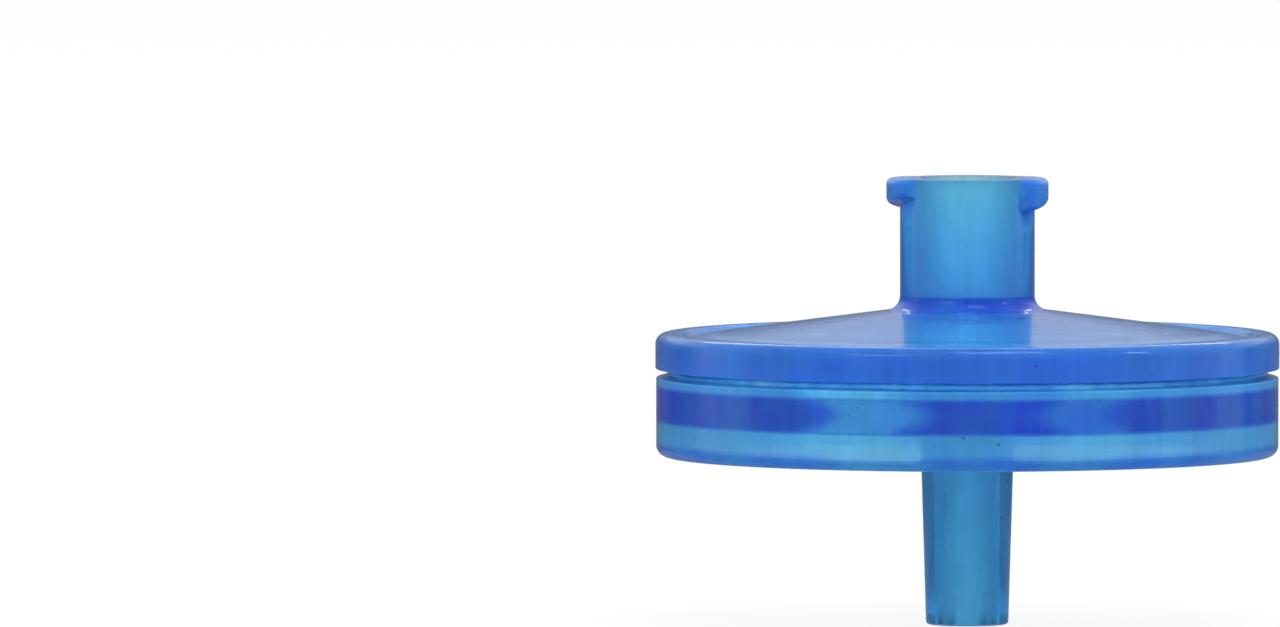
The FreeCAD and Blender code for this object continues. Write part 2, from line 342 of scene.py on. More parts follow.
def marked(plan, height, depth, frost=0.0, milkiness=0.0):
    """Rows of marked points: plan, height, depth of plastic, frosting and milkiness side by side."""
    return np.stack(np.broadcast_arrays(plan[..., 0], plan[..., 1], height, depth, frost, milkiness), axis=-1)


def rounded_path(corners):
    """A half section as rows of radius, height, depth of plastic and milkiness.

    Each corner gives those four, its rounding, and the number of rows on the side up to it. A
    rounding is the arc that touches both sides: it starts and ends at the rounding over the
    tangent of half the corner's angle, and its points lie at the rounding from its centre.
    """
    places = np.array([corner[:4] for corner in corners], float)
    path = [places[:1]]
    for number, (before, here, after) in enumerate(zip(places, places[1:], places[2:]), start=1):
        rounding, rows = corners[number][4:]
        back, ahead = ((side - here)[:2] / np.linalg.norm((side - here)[:2]) for side in (before, after))
        half_angle = math.acos(np.clip(np.dot(back, ahead), -1, 1)) / 2
        reach = rounding / math.tan(half_angle)
        start = np.append(here[:2] + back * reach, here[2:])
        path.append(blend(path[-1][-1], start, steps(0, 1, rows)))
        if rounding:
            middle = (back + ahead) / np.linalg.norm(back + ahead)
            centre = here[:2] + middle * rounding / math.sin(half_angle)
            spoke = blend(start[:2] - centre, here[:2] + ahead * reach - centre, steps(0, 1, ARC_ROWS))
            arc = centre + spoke * rounding / np.linalg.norm(spoke, axis=1, keepdims=True)
            path.append(np.column_stack([arc, np.tile(here[2:], (ARC_ROWS, 1))]))
    path.append(blend(path[-1][-1], places[-1], steps(0, 1, corners[-1][5])))
    return np.concatenate(path)


def turned_path(path, half_width, turn=0.0, open_share=0.0):
    """The rows of a half section turned round the axis, with the columns at their even angles.

    With an open share, light that comes in between the ribs is painted on. There solid rows lose that
    share of their depth, and milky ones a part of it. Milkiness is whole in the painted light and less in
    the painted shade, and solid rows and the joint gain some in the painted light. The lit places bow by a
    cosine of the height from the middle of the plate.
    """
    radius, height, depth, milkiness = (path[:, part:part + 1] for part in range(4))
    angle = column_angles(radius, half_width, turn)
    bow = LIT_BOW * np.cos(LIT_BOW_RATE * (height - (PLATE_FLOOR + SEAT_LEVEL) / 2))
    # painted light from between the ribs: lit places lose depth and gain milkiness, and places without it
    # keep less milkiness as painted shade
    painted_lit = painted_light_between_ribs(angle + bow * np.sign(np.cos(angle))) * (open_share > 0)
    solid = np.clip((depth - RIM_DEPTH) / (SOLID - RIM_DEPTH), 0, 1)
    at_joint = milkiness > JOINT_MILK - 0.05
    opened = painted_lit * np.maximum(solid, LIT_MILKY_SHARE * (milkiness > 0))
    gained = painted_lit * (LIT_SOLID_MILK * solid + LIT_JOINT_MILK * at_joint)
    return marked(plan_at(radius, angle), height, depth * (1 - opened * open_share), 0.0,
                  milkiness * blend(SHADE_MILK, 1, painted_lit) + gained)


def painted_light_between_ribs(angle):
    """How much light from the far side each angle lets in, between the ribs and the channels.

    Minus the cosine of eight times the angle has a crest between each rib and the next channel.
    A sine of three times the angle shifts the crests a little either way. Four times the sine
    squared, less two, fades them out towards the sides, and a cosine of the angle makes them
    brighter on the -X side. This light is painted on the wall, so it stays where it is when the
    view or the lamps change.
    """
    shift = 0.63 * np.sin(3 * angle + 0.28)
    crest = np.clip(-1.3 * np.cos(8 * angle - shift), 0, 1)
    facing = np.clip(4 * np.sin(angle) ** 2 - 2, 0, 1)
    return crest * facing * (0.82 - 0.5 * np.cos(angle))


# ---------------------------------------------------------------- inlet shell

def lug_plan():
    """Outline of the tube with its lugs, seen from above, one point for each column.

    In a quarter with a lug it runs along the lug's outer arc, round its corner, straight in along
    its end face and then along the tube. The arc and the corner are one rule: a centre that
    moves on a smaller arc and then stops, plus the corner's radius in the direction faced.
    Gives the points, the directions they face, and how much of a lug's edge each has.
    """
    corner_arc = LUG_RADIUS - LUG_CORNER
    arc_end = math.asin((LUG_HALF_WIDTH - LUG_CORNER) / corner_arc)
    root = math.asin(LUG_HALF_WIDTH / HUB_RADIUS)
    facing = np.interp(STEP, [0, ARC_COLUMNS, ARC_COLUMNS + CORNER_COLUMNS], [0, arc_end, math.pi / 2])
    on_face = np.clip((STEP - ARC_COLUMNS - CORNER_COLUMNS) / FACE_COLUMNS, 0, 1)
    lug = plan_at(corner_arc, np.minimum(facing, arc_end)) + plan_at(LUG_CORNER, facing)
    lug[:, 0] -= on_face * (corner_arc * math.cos(arc_end) - HUB_RADIUS * math.cos(root))
    past_lug = STEP > LUG_COLUMNS
    tube_angle = np.interp(STEP, [LUG_COLUMNS, HALF_QUARTER], [root, math.pi / 4])
    points = np.where(past_lug[:, None], plan_at(HUB_RADIUS, tube_angle), lug)
    facing = np.where(past_lug, tube_angle, facing)

    own_angle = np.arctan2(points[:, 1], points[:, 0]) * SIDE + QUARTER_TURN
    plain_angle = column_angles(HUB_RADIUS, LINE_HALF_WIDTH)[0]
    points = np.where(ON_LUG_QUARTER[:, None], plan_at(np.hypot(*points.T), own_angle),
                      plan_at(HUB_RADIUS + parting_ridge(), plain_angle))
    facing = np.where(ON_LUG_QUARTER, facing * SIDE + QUARTER_TURN, plain_angle)
    return points, plan_at(1.0, facing), (1 - on_face) * ON_LUG_QUARTER


def hub_blocks():
    """Rows of the tube's end, the lugs and the tube, down to the fillet at the roof."""
    outline, facing, lug = lug_plan()
    outline_angle = np.unwrap(np.arctan2(outline[:, 1], outline[:, 0]))
    edge = blend(HUB_EDGE, LUG_EDGE, lug)
    lug_ends = [LUG_COLUMNS - SOFT_COLUMNS, LUG_COLUMNS + SOFT_COLUMNS]
    lugged = np.interp(STEP, lug_ends, [1, 0]) * ON_LUG_QUARTER
    wall_depth = blend(TUBE_WALL, LUG_BODY_DEPTH, lugged)
    milkiness = LUG_MILK * lugged
    quarter_turn = steps(0, math.pi / 2, ARC_ROWS)
    apart = 0.01 * quarter_turn         # keeps rows apart where the lower edge has no rounding

    # flat end of the tube and its rounded outer edge
    mouth = plan_at(MOUTH_RADIUS + MOUTH_CHAMFER, outline_angle)
    flat = blend(mouth, outline - facing * edge[:, None], steps(0, 1, 4)[..., None])
    rounded = outline - facing * (edge * (1 - np.sin(quarter_turn)))[..., None]
    height = HUB_TOP - edge * (1 - np.cos(quarter_turn))
    blocks = [marked(flat, HUB_TOP, wall_depth, 0.2, milkiness),
              marked(rounded, height, wall_depth, 0, milkiness)]

    # outer face of the lugs down to their ramp, and their lower edge
    lug_side = np.where(QUARTER == 0, 1, -1)
    along_lug = np.clip(outline[:, 1] * lug_side / LUG_HALF_WIDTH, -1, 1) / 2 + 0.5
    along = np.where(ON_LUG_QUARTER, along_lug, 0.5 - SIDE_COLUMN / PER_QUARTER)
    ramp = HUB_TOP - LUG_DEPTH + LUG_RISE * along
    low_edge = LUG_EDGE * lug
    height = blend(HUB_TOP - edge, ramp + low_edge, steps(0, 1, 6))
    blocks.append(marked(outline[None], height, wall_depth, 0, milkiness))
    under = outline - facing * (low_edge * (1 - np.cos(quarter_turn)))[..., None]
    height = ramp + low_edge * (1 - np.sin(quarter_turn)) - apart
    blocks.append(marked(under, height, wall_depth, 0, milkiness))

    # in under the lugs to the tube, then down the tube while the columns even out
    root = math.asin(LUG_HALF_WIDTH / HUB_RADIUS)
    tube_angle = np.interp(STEP, [0, ARC_COLUMNS, LUG_COLUMNS], [0, 0.75 * root, root])
    tube_angle = tube_angle * SIDE + QUARTER_TURN
    seat_angle = np.where(ON_LUG_QUARTER & (STEP < LUG_COLUMNS), tube_angle, outline_angle)
    seat = plan_at(HUB_RADIUS + parting_ridge(), seat_angle)
    share = steps(0, 1, 5)
    ledge = height[-1] - LUG_FOOT * share ** 4
    blocks.append(marked(blend(under[-1], seat, share[..., None]), ledge, wall_depth, 0, milkiness))
    share = steps(0, 1, 14)
    lug_shade = np.clip(1 - 4 * share, 0, 1)
    even = np.unwrap(column_angles(HUB_RADIUS, LINE_HALF_WIDTH)[0])
    tube = plan_at(HUB_RADIUS + parting_ridge(), blend(seat_angle, even, eased(share)))
    height = blend(ledge[-1], ROOF_FOOT + HUB_FILLET, share)
    blocks.append(marked(tube, height, blend(TUBE_WALL, wall_depth, lug_shade), 0, milkiness * lug_shade))
    return blocks, outline_angle


def chamber_blocks():
    """Rows of the clamp foot, the chamber's wall and its ceiling with the four ribs.

    The ceiling is painted darker beside the ribs than on them, as painted shade.
    """
    bottom = MEMBRANE_TOP + GAP
    foot = steps(LIP_LEVEL, bottom, 3)
    blocks = [marked(plan_at(FOOT_OUTER, column_angles(FOOT_OUTER, LINE_HALF_WIDTH)), foot, PLATE_DEPTH, 1.0)]
    share = steps(0, 1, 5)
    radius = blend(FOOT_OUTER, GRID_RADIUS, share)
    angle = blend(column_angles(radius, LINE_HALF_WIDTH), column_angles(radius, RIB_HALF_WIDTH), share)
    blocks.append(marked(plan_at(radius, angle), bottom, ROOF_DEPTH, 1.0))
    ribbed = blend(CEILING_LEVEL, RIB_FLOOR, raised())
    wall = plan_at(GRID_RADIUS, column_angles(GRID_RADIUS, RIB_HALF_WIDTH))
    blocks.append(marked(wall, blend(bottom, ribbed, steps(0, 1, 4)), ROOF_DEPTH, 1.0))
    rib_end = RIB_START - 0.02          # the ribs end in a nearly upright face
    for start, end, count, level in ((GRID_RADIUS, RIB_START, 24, ribbed),
                                     (RIB_START, rib_end, 1, CEILING_LEVEL),
                                     (rib_end, PORT_RADIUS, 2, CEILING_LEVEL)):
        radius = steps(start, end, count)
        ceiling = plan_at(radius, column_angles(radius, RIB_HALF_WIDTH))
        # milkiness of -1 beside the ribs paints shade on the frosted ceiling
        blocks.append(marked(ceiling, level, ROOF_DEPTH, 1.0, raised() - 1))
    return blocks


def inlet_blocks():
    """Rows of the inlet shell, from the mouth over the tube, roof and rim, and back inside."""
    blocks, outline_angle = hub_blocks()
    outside = rounded_path([            # radius, height, depth, milkiness, rounding, rows
        (HUB_RADIUS, ROOF_FOOT + HUB_FILLET, TUBE_WALL, 0, 0, 0),
        (HUB_RADIUS, ROOF_FOOT, HUB_FOOT_DEPTH, HUB_FOOT_MILK, HUB_FILLET, 1),
        (ROOF_START, ROOF_APEX - ROOF_SLOPE * ROOF_START, ROOF_DEPTH, ROOF_FOOT_MILK, 0, 2),
        (VALLEY_RADIUS, ROOF_APEX - ROOF_SLOPE * VALLEY_RADIUS, ROOF_DEPTH, ROOF_MILK, 0.12, 18),
        (BEAD_INNER, BEAD_TOP, SKIRT_DEPTH, BEAD_MILK, 0.1, 1),
        (RIM_RADIUS, BEAD_TOP, SKIRT_DEPTH, 0, BEAD_ROUND, 4),
        (RIM_RADIUS, BEAD_TOP - BEAD_ROUND - 0.1, RIM_DEPTH, 0, 0, 1),
        (RIM_RADIUS, FLANGE_LEVEL, RIM_DEPTH, 0, 0.06, 7),
        (LIP_CONTACT + LIP_CHAMFER[0], LIP_LEVEL + LIP_CHAMFER[1], RIM_DEPTH, FLANGE_MILK, 0.05, 2),
        (LIP_CONTACT, LIP_LEVEL + GAP, ROOF_DEPTH, JOINT_MILK, 0.03, 2),
        (FOOT_OUTER, LIP_LEVEL + GAP, PLATE_DEPTH, JOINT_MILK, 0.05, 3),
    ])[1:]
    blocks.append(turned_path(outside, LINE_HALF_WIDTH))
    blocks += chamber_blocks()

    # port, ledge and luer cone up to the mouth
    cone_end = MOUTH_RADIUS - LUER_SLOPE * (HUB_TOP - BORE_FLOOR)
    # the mouth's edge is frosted with milkiness below 0, which paints it darker as shade
    edge_start = 0.5                    # how far down the mouth's darker edge starts
    chamfer_end = MOUTH_RADIUS - LUER_SLOPE * MOUTH_CHAMFER
    bore = rounded_path([               # radius, height, depth, milkiness, rounding, rows
        (PORT_RADIUS, CEILING_LEVEL, ROOF_DEPTH, 0, 0, 0),
        (PORT_RADIUS, BORE_FLOOR, TUBE_WALL, 0, 0.04, 5),
        (cone_end, BORE_FLOOR, TUBE_WALL, 0, 0.05, 1),
        (MOUTH_RADIUS - LUER_SLOPE * edge_start, HUB_TOP - edge_start, TUBE_WALL, 0, 0, 12),
        (chamfer_end, HUB_TOP - MOUTH_CHAMFER, TUBE_WALL, MOUTH_MILK, 0.02, 3),
        (MOUTH_RADIUS + MOUTH_CHAMFER, HUB_TOP, TUBE_WALL, MOUTH_MILK, 0, 1),
    ])[1:]
    share = eased(steps(0, 1, len(bore)))
    angle = blend(np.unwrap(column_angles(PORT_RADIUS, RIB_HALF_WIDTH)[0]), outline_angle, share)
    blocks.append(marked(plan_at(bore[:, :1], angle), bore[:, 1:2], bore[:, 2:3], 1.0, bore[:, 3:4]))
    return blocks


def divider():
    """The cross of two bars in the port: a star-shaped outline of four arms, pushed up.

    The outline's radius follows each arm's straight sides: half a width over the sine of the
    angle from the arm's middle line, and no more than the port's radius. Its points stand at the
    inner corner between two arms and evenly across the next arm's end.
    """
    reach = PORT_RADIUS + 0.03
    arm_edge = math.asin(DIVIDER_HALF_WIDTH / reach)
    from_arm = np.concatenate([[-math.pi / 4], np.linspace(-arm_edge, arm_edge, 7)])
    away = np.maximum(np.abs(from_arm), arm_edge)
    radius = np.minimum(reach, DIVIDER_HALF_WIDTH / np.sin(away))
    arm_middles = (np.arange(QUARTERS)[:, None] + 0.5) * math.pi / 2
    outline = plan_at(radius, arm_middles + from_arm).reshape(-1, 2)
    shrink = np.array([0.94, 1, 1, 0.94])[:, None, None]
    level = DIVIDER_FLOOR + DIVIDER_HEIGHT * np.array([0, 0.05, 0.95, 1])[:, None]
    rows = marked(outline * shrink, level, DIVIDER_HEIGHT, 1.0)
    poles = [(0, 0, DIVIDER_FLOOR + DIVIDER_HEIGHT * up, DIVIDER_HEIGHT, 1.0, 0) for up in (0, 1)]
    return capped_surface(rows, *poles)


def weld_flash():
    """Thin uneven ring of plastic squeezed out at the bottom of the groove between the shells.

    Its section is an oval whose size and place wander with sums of sine waves round the turn. The
    sine squared of the angle makes it bigger, and sets it further out, at the front and the back.
    """
    angle = np.linspace(0, 2 * math.pi, COLUMNS * 2, endpoint=False)
    wander = sum(np.sin(count * angle + start) / count ** 0.5 for count, start in
                 ((5, 0.4), (11, 2.0), (23, 4.1), (41, 1.3), (67, 5.2), (97, 0.9)))
    forward = np.sin(angle) ** 2
    size = FLASH_SIZE * (0.6 + 0.4 * forward) * (0.85 + 0.15 * wander)
    rise = -0.02 + 0.02 * np.sin(3 * angle + 1.0) + 0.012 * np.roll(wander, 40)
    around = np.linspace(0, 2 * math.pi, 8, endpoint=False)[:, None]
    radius = FLASH_RADIUS + 0.3 * forward + size * np.cos(around)
    height = LIP_LEVEL + rise + 1.2 * size * np.sin(around)
    # paler where the waves run high: partly melted plastic, and partly painted light and glints in the
    # groove's shade
    milkiness = JOINT_MILK + 0.5 * np.clip(wander, 0, 1.5)
    return ring_surface([marked(plan_at(radius, angle), height, PLATE_DEPTH, 0, milkiness)])


# ---------------------------------------------------------------- outlet shell

def grid_level(radius):
    """Height of the grid at each radius: V-shaped grooves at an even pitch in a flat plate."""
    away = np.abs((radius - GROOVE_FIRST + GROOVE_PITCH / 2) % GROOVE_PITCH - GROOVE_PITCH / 2)
    first, last = GROOVE_FIRST - GROOVE_PITCH / 2, GROOVE_FIRST + (GROOVES - 0.5) * GROOVE_PITCH
    grooved = (radius > first) & (radius < last)
    return SEAT_LEVEL - GAP - GROOVE_DEPTH * np.clip(1 - 2 * away / GROOVE_WIDTH, 0, 1) * grooved


def channel_half_width(radius):
    """Half width of a channel: even along its run, then the chord of the round well at its end."""
    chord = np.sqrt(np.maximum(WELL_RADIUS ** 2 - (radius - WELL_PLACE) ** 2, 0.12 ** 2))
    plain = CHANNEL_HALF_WIDTH * np.clip((radius - WELL_PLACE - WELL_RADIUS) * 4, 0, 1)
    inner = np.maximum(CHANNEL_HALF_WIDTH, chord * (radius > WELL_PLACE - WELL_RADIUS * 0.8))
    return np.where(radius < WELL_PLACE, inner, np.maximum(chord, plain))


def outlet_blocks():
    """Rows of the outlet shell, from the tip over the plate, skirt and lip to the grid and bore."""
    turn = math.pi / 4
    bore_start = 1.0                    # height in the bore at which the rows start and end
    band_low, band_high = PLATE_FLOOR - 0.02, SEAT_LEVEL - 0.16
    soft = 0.12                         # half the height over which the solid band fades out
    outside = rounded_path([            # radius, height, depth, milkiness, rounding, rows
        (OUTLET_BORE, bore_start, TUBE_WALL, 0, 0, 0),
        (OUTLET_BORE, 0, TUBE_WALL, 0, 0.06, 1),
        (TIP_RADIUS, 0, TUBE_WALL, TIP_MILK, TIP_EDGE, 3),
        (TIP_RADIUS + LUER_SLOPE * PLATE_FLOOR, PLATE_FLOOR, TUBE_WALL, TIP_MILK, ROOT_FILLET, 22),
        (SKIRT_INNER, PLATE_FLOOR, PLATE_DEPTH, 0, 0.2, 12),
        (SKIRT_INNER, SKIRT_FLOOR, THIN_WALL, 0, 0.1, 3),
        (SKIRT_OUTER, SKIRT_FLOOR, RIM_DEPTH, SKIRT_EDGE_MILK, SKIRT_ROUND, 1),
        (SKIRT_OUTER, SKIRT_FLOOR + 0.8, SKIRT_DEPTH, SKIRT_FOOT_MILK, 0, 3),
        (SKIRT_OUTER, band_low - soft, SKIRT_DEPTH, SKIRT_MILK, 0, 3),
        (SKIRT_OUTER, band_low + soft, SOLID, BAND_MILK, 0, 2),
        (SKIRT_OUTER, band_high - soft, SOLID, BAND_MILK, 0, 6),
        (SKIRT_OUTER, band_high + soft, LIP_DEPTH, JOINT_MILK, 0, 2),
        (SKIRT_OUTER, LIP_SHOULDER, LIP_DEPTH, JOINT_MILK, 0.06, 2),
        (LIP_CONTACT + LIP_CHAMFER[0], LIP_LEVEL - LIP_CHAMFER[1], LIP_DEPTH, LIP_MILK, 0.05, 2),
        (LIP_CONTACT, LIP_LEVEL - GAP, LIP_DEPTH, LIP_MILK, 0.03, 2),
        (LIP_INNER, LIP_LEVEL - GAP, THIN_WALL, JOINT_MILK, 0.04, 2),
        (LIP_INNER, SEAT_LEVEL - GAP, THIN_WALL, JOINT_MILK, 0.04, 2),
        (FOOT_OUTER, SEAT_LEVEL - GAP, PLATE_DEPTH, JOINT_MILK, 0, 1),
    ])[1:]
    blocks = [turned_path(outside, LINE_HALF_WIDTH, turn, open_share=0.85)]

    # seat of the membrane's edge, and the grid with its channels and wells
    share = steps(0, 1, 4)
    radius = blend(FOOT_OUTER, GRID_RADIUS, share)
    angle = blend(column_angles(radius, LINE_HALF_WIDTH, turn),
                  column_angles(radius, CHANNEL_HALF_WIDTH, turn), share)
    blocks.append(marked(plan_at(radius, angle), SEAT_LEVEL - GAP, PLATE_DEPTH, 1.0))

    grooves = GROOVE_FIRST + np.arange(GROOVES)[:, None] * GROOVE_PITCH
    in_groove = grooves + GROOVE_WIDTH / 2 * np.array([-1, -0.5, 0, 0.5, 1])
    in_well = WELL_PLACE + WELL_RADIUS * np.array([0.75, 0.9, 0.97, 0.99, 1.35, 1.7])
    radius = np.unique(np.concatenate([in_groove.ravel(), in_well, [1.75, 2.1]]))[::-1, None]
    channel = SEAT_LEVEL - CHANNEL_DEPTH * raised() * (radius < WELL_PLACE + WELL_RADIUS * 0.98)
    angle = column_angles(radius, channel_half_width(radius), turn)
    blocks.append(marked(plan_at(radius, angle), np.minimum(grid_level(radius), channel), PLATE_DEPTH, 1.0))

    # funnel and bore
    share = steps(0, 1, 5)
    radius = blend(FUNNEL_RADIUS, OUTLET_BORE, share)
    funnel = blend(SEAT_LEVEL - GAP, SEAT_LEVEL - FUNNEL_DEPTH, share)
    level = np.minimum(funnel, SEAT_LEVEL - CHANNEL_DEPTH * raised())
    angle = column_angles(radius, CHANNEL_HALF_WIDTH, turn)
    blocks.append(marked(plan_at(radius, angle), level, PLATE_DEPTH, 1.0))
    share = steps(0, 1, 16)
    angle = blend(column_angles(OUTLET_BORE, CHANNEL_HALF_WIDTH, turn),
                  column_angles(OUTLET_BORE, LINE_HALF_WIDTH, turn), share)
    blocks.append(marked(plan_at(OUTLET_BORE, angle), blend(level[-1], bore_start, share), TUBE_WALL, 1.0))
    return blocks


# ---------------------------------------------------------------- membrane

def membrane():
    """Membrane disc: flat, with its cut edge a little uneven.

    The edge's radius is the disc's radius less the sum of a few sine waves round the turn.
    """
    angle = np.linspace(0, 2 * math.pi, COLUMNS, endpoint=False)
    cut = 0.05 + sum(size * np.sin(count * angle + start) for count, size, start in
                     ((7, 0.02, 0.0), (19, 0.015, 1.0), (43, 0.012, 2.2)))
    low, high = SEAT_LEVEL + GAP, MEMBRANE_TOP - GAP
    inwards = np.array([0.02, 0.25, 0.5, 0.75, 0.97, 1])
    share = np.concatenate([inwards, inwards[::-1]])[:, None]
    up = np.repeat([0, 0.2, 0.8, 1], [5, 1, 1, 5])[:, None]
    thick = high - low
    rows = marked(plan_at(share * (MEMBRANE_RADIUS - cut), angle), low + thick * up, thick)
    return capped_surface(rows, (0, 0, low, thick, 0, 0), (0, 0, high, thick, 0, 0))


# ---------------------------------------------------------------- materials

def node(tree, kind, inputs=None, **settings):
    """Adds a node, with its settings and the values or links of its inputs."""
    made = tree.nodes.new(kind)
    for name, value in settings.items():
        setattr(made, name, value)
    for name, value in (inputs or {}).items():
        if isinstance(value, bpy.types.NodeSocket):
            tree.links.new(value, made.inputs[name])
        else:
            made.inputs[name].default_value = value
    return made


def new_material(name):
    """An empty node material with its output node."""
    material = bpy.data.materials.new(name)
    material.use_nodes = True
    material.node_tree.nodes.clear()
    return material, material.node_tree, node(material.node_tree, "ShaderNodeOutputMaterial")


def noise(tree, place, scale, detail, roughness=0.5):
    """Noise at a scale in turns per metre, from 0 to 1."""
    return node(tree, "ShaderNodeTexNoise", {
        "Vector": place, "Scale": scale, "Detail": detail, "Roughness": roughness}).outputs["Fac"]


def maths(tree, operation, *values):
    """One step of arithmetic on numbers or sockets."""
    return node(tree, "ShaderNodeMath", dict(enumerate(values)), operation=operation).outputs["Value"]


def ramp(tree, value, from_low, from_high, to_low, to_high):
    """A value moved from one range to another and kept inside it."""
    return node(tree, "ShaderNodeMapRange", {
        "Value": value, "From Min": from_low, "From Max": from_high,
        "To Min": to_low, "To Max": to_high}).outputs["Result"]


def blended(tree, share, one, other):
    """A mixture of two colours: all of the first at share 0 and all of the other at share 1."""
    return node(tree, "ShaderNodeMix", {0: share, 6: one, 7: other}, data_type="RGBA").outputs[2]


def scaled(tree, colour, share):
    """A colour or a place multiplied by a number."""
    return node(tree, "ShaderNodeVectorMath", {"Vector": colour, "Scale": share},
                operation="SCALE").outputs["Vector"]


def read_marks(tree):
    """The frosting, the haze and the milkiness that the shells' points are marked with."""
    return [node(tree, "ShaderNodeAttribute", attribute_name=mark).outputs["Fac"]
            for mark in ("frost", "haze", "milkiness")]


def make_moulded_finish():
    """Node group for moulded plastic: cloudy tint with rare specks, smears, skin and flow streaks.

    Color is what the clear plastic lets through, painted darker as shade on frosted faces whose
    milkiness is below 0. Body is the colour of its milk, which haze takes from the thin body to the
    deep one, and milkiness past 1 to the pale one: partly melted plastic, partly painted light.
    """
    group = bpy.data.node_groups.new("moulded_finish", "ShaderNodeTree")
    face = group.interface
    for name, kind, value in (("Tint", "NodeSocketColor", (0.87, 1, 1, 1)),
                              ("Cloud", "NodeSocketColor", (0.78, 0.95, 0.98, 1)),
                              ("Gloss", "NodeSocketFloat", 0.07),
                              ("Smear", "NodeSocketFloat", 0.16),
                              ("Frosting", "NodeSocketFloat", 0.4),
                              ("Thin Body", "NodeSocketColor", (0.08, 0.36, 0.66, 1)),
                              ("Deep Body", "NodeSocketColor", (0.012, 0.065, 0.42, 1)),
                              ("Pale Melt And Painted Light", "NodeSocketColor", (0.22, 0.6, 0.98, 1))):
        face.new_socket(name, in_out="INPUT", socket_type=kind).default_value = value
    for name, kind in (("Color", "NodeSocketColor"), ("Roughness", "NodeSocketFloat"),
                       ("Height", "NodeSocketFloat"), ("Body", "NodeSocketColor")):
        face.new_socket(name, in_out="OUTPUT", socket_type=kind)
    inside = node(group, "NodeGroupInput").outputs
    place = node(group, "ShaderNodeTexCoord").outputs["Object"]
    frost, haze, milkiness = read_marks(group)

    # streaks along the flow, clouds, and dark specks that are more frequent in milky plastic
    along_flow = node(group, "ShaderNodeMapping", {"Vector": place, "Scale": (1, 1, 0.12)}).outputs["Vector"]
    streaks = noise(group, along_flow, 330, 3, 0.6)
    fine_streaks = noise(group, along_flow, 2600, 2, 0.6)
    mottled = ramp(group, fine_streaks, 0.3, 0.7, 0.94, 1.05)
    clouds = noise(group, place, 500, 4, 0.6)
    cells = node(group, "ShaderNodeTexVoronoi", {"Vector": place, "Scale": 900, "Randomness": 1}).outputs
    dot = ramp(group, cells["Distance"], 0.04, 0.08, 0.45, 1)
    draw = node(group, "ShaderNodeSeparateColor", {"Color": cells["Color"]}).outputs["Red"]
    spared = maths(group, "LESS_THAN", draw, maths(group, "MULTIPLY_ADD", milkiness, -0.8, 0.7))
    speck = maths(group, "MAXIMUM", dot, spared)

    # clear colour, grainy where it is frosted, and painted darker there as shade where milkiness is below 0
    grain_and_painted_shade = ramp(group, noise(group, along_flow, 3500, 4, 0.7), 0.3, 0.7, 0.82, 1.1)
    grain_and_painted_shade = maths(group, "MULTIPLY_ADD", milkiness, 0.35, grain_and_painted_shade)
    grain_and_painted_shade = node(group, "ShaderNodeMix", {0: frost, 2: 1.0, 3: grain_and_painted_shade}, data_type="FLOAT").outputs[0]
    colour = blended(group, streaks, inside["Tint"], inside["Cloud"])
    colour = scaled(group, scaled(group, colour, maths(group, "MULTIPLY", speck, mottled)), grain_and_painted_shade)

    # roughness: smears, and frosting with fine streaks in it
    smears = ramp(group, noise(group, place, 700, 4, 0.6), 0.35, 0.7, inside["Gloss"], inside["Smear"])
    frosting = maths(group, "MULTIPLY", frost, inside["Frosting"])
    frosting = maths(group, "MULTIPLY", frosting, ramp(group, fine_streaks, 0.3, 0.7, 0.7, 1.3))
    rough = maths(group, "ADD", smears, frosting)

    # height: broad waves, a fine peel, pits at the specks, and grain where it is frosted
    waves = noise(group, place, 420, 2)
    height = maths(group, "MULTIPLY_ADD", noise(group, place, 5200, 2, 0.6), 0.12, waves)
    height = maths(group, "MULTIPLY_ADD", speck, 3.0, height)
    height = maths(group, "MULTIPLY_ADD", maths(group, "MULTIPLY", fine_streaks, frost), 0.8, height)

    # milk
    deep = maths(group, "MULTIPLY", haze, ramp(group, streaks, 0.3, 0.7, 0.85, 1.1))
    deep = maths(group, "MULTIPLY", deep, ramp(group, clouds, 0.3, 0.7, 0.9, 1.05))
    body = blended(group, deep, inside["Thin Body"], inside["Deep Body"])
    # past 1 the milk turns pale: partly melted plastic, and partly painted light in the shade of the groove
    # at the joint
    body = blended(group, ramp(group, milkiness, 1, 2, 0, 0.7), body, inside["Pale Melt And Painted Light"])
    uneven = maths(group, "MULTIPLY", ramp(group, clouds, 0.3, 0.7, 0.88, 1.1), mottled)
    body = scaled(group, scaled(group, body, uneven), speck)
    node(group, "NodeGroupOutput", {"Color": colour, "Roughness": rough, "Height": height, "Body": body})
    return group


